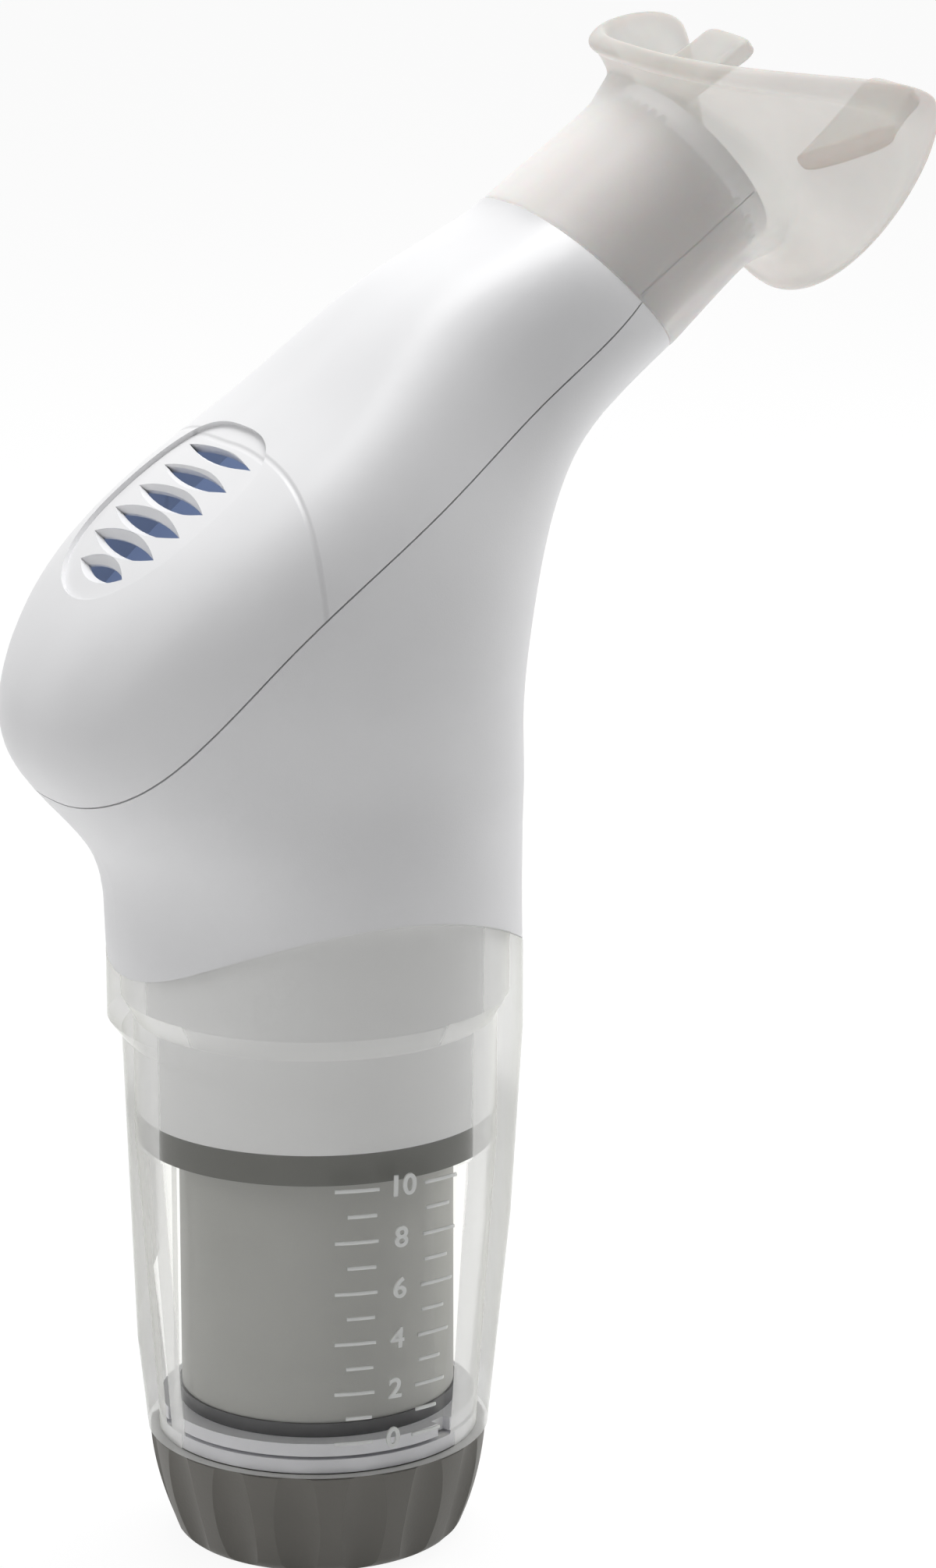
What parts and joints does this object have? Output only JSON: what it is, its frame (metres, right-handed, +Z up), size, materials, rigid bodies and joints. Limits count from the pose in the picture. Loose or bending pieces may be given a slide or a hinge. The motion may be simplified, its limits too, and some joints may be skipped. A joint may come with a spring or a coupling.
{
  "type": "inspiratory muscle trainer",
  "caption": "Hand-held breathing trainer: soft mouthpiece on an angled handle, clear barrel with a load scale and a ribbed knob that tightens the inhale valve's spring.",
  "frame": {"origin": "centre of the flat foot of the end knob, where the device stands upright", "axes": "+Z up the barrel, from the knob to the handle; +X towards the mouthpiece; the vent slots are on the -X side"},
  "size_m": [0.0973, 0.0596, 0.1723],
  "materials": {
    "body_plastic": "satin white moulded plastic",
    "clear_plastic": "clear glossy plastic",
    "clear_silicone": "translucent silicone, matte",
    "knob_plastic": "fine matte grey plastic",
    "ring_plastic": "satin mid grey plastic",
    "pointer_plastic": "satin dark grey plastic",
    "sleeve_plastic": "matte light grey plastic",
    "carriage_plastic": "satin off-white plastic",
    "screw_plastic": "satin off-white plastic",
    "washer_plastic": "waxy bearing plastic",
    "valve_plastic": "satin white plastic",
    "deck_plastic": "satin blue-grey plastic",
    "flap_silicone": "soft blue silicone",
    "seal_rubber": "matte dark rubber",
    "clip_metal": "bright spring steel",
    "spring_steel": "drawn spring steel"
  },
  "bodies": {
    "housing": {"handle_cover": "body_plastic", "handle_body": "body_plastic", "barrel": "clear_plastic", "handle_ring": "ring_plastic", "end_bearing": "carriage_plastic", "valve_seat": "valve_plastic", "seat_gasket": "seal_rubber", "spring_seat": "washer_plastic", "exhale_deck": "deck_plastic", "hinge_clip": "deck_plastic"},
    "knob": {"tension_knob": "knob_plastic", "thrust_washer": "washer_plastic", "knob_clip": "clip_metal"},
    "valve": {"valve_poppet": "valve_plastic", "poppet_seal": "seal_rubber", "stem_clip": "clip_metal"},
    "screw": {"lead_screw": "screw_plastic"},
    "carriage": {"spring_carriage": "carriage_plastic", "pointer_ring": "pointer_plastic", "spring_sleeve": "sleeve_plastic", "main_spring": "spring_steel"},
    "flap": {"exhale_flap": "flap_silicone"},
    "mouthpiece": {"mouthpiece": "clear_silicone"}
  },
  "joints": [
    {"name": "knob_turn", "type": "hinge", "parent": "housing", "child": "knob", "pos_m": [0, 0, 0], "axis": [0, 0, 1], "range_deg": [0, 3420]},
    {"name": "valve_lift", "type": "slide", "parent": "housing", "child": "valve", "axis": [0, 0, 1], "range_m": [0, 0.0022], "stiffness_N_per_m": 300, "springref_m": -0.004, "deforming": ["main_spring"]},
    {"name": "screw_turn", "type": "hinge", "parent": "valve", "child": "screw", "pos_m": [0, 0, 0], "axis": [0, 0, 1], "range_deg": [0, 3420]},
    {"name": "carriage_slide", "type": "slide", "parent": "valve", "child": "carriage", "axis": [0, 0, 1], "range_m": [0, 0.0285], "deforming": ["main_spring"]},
    {"name": "flap_swing", "type": "hinge", "parent": "housing", "child": "flap", "pos_m": [-0.00505, 0, 0.12014], "axis": [0, 1, 0], "range_deg": [0, 20], "stiffness_Nm_per_rad": 0.0004},
    {"name": "mouthpiece_pull", "type": "slide", "parent": "housing", "child": "mouthpiece", "axis": [0.788, 0, 0.6157], "range_m": [0, 0.02]}
  ],
  "couplings": [
    {"joint": "screw_turn", "follows": "knob_turn", "ratio": 1},
    {"joint": "carriage_slide", "follows": "knob_turn", "m_per_rad": 0.00047746}
  ]
}
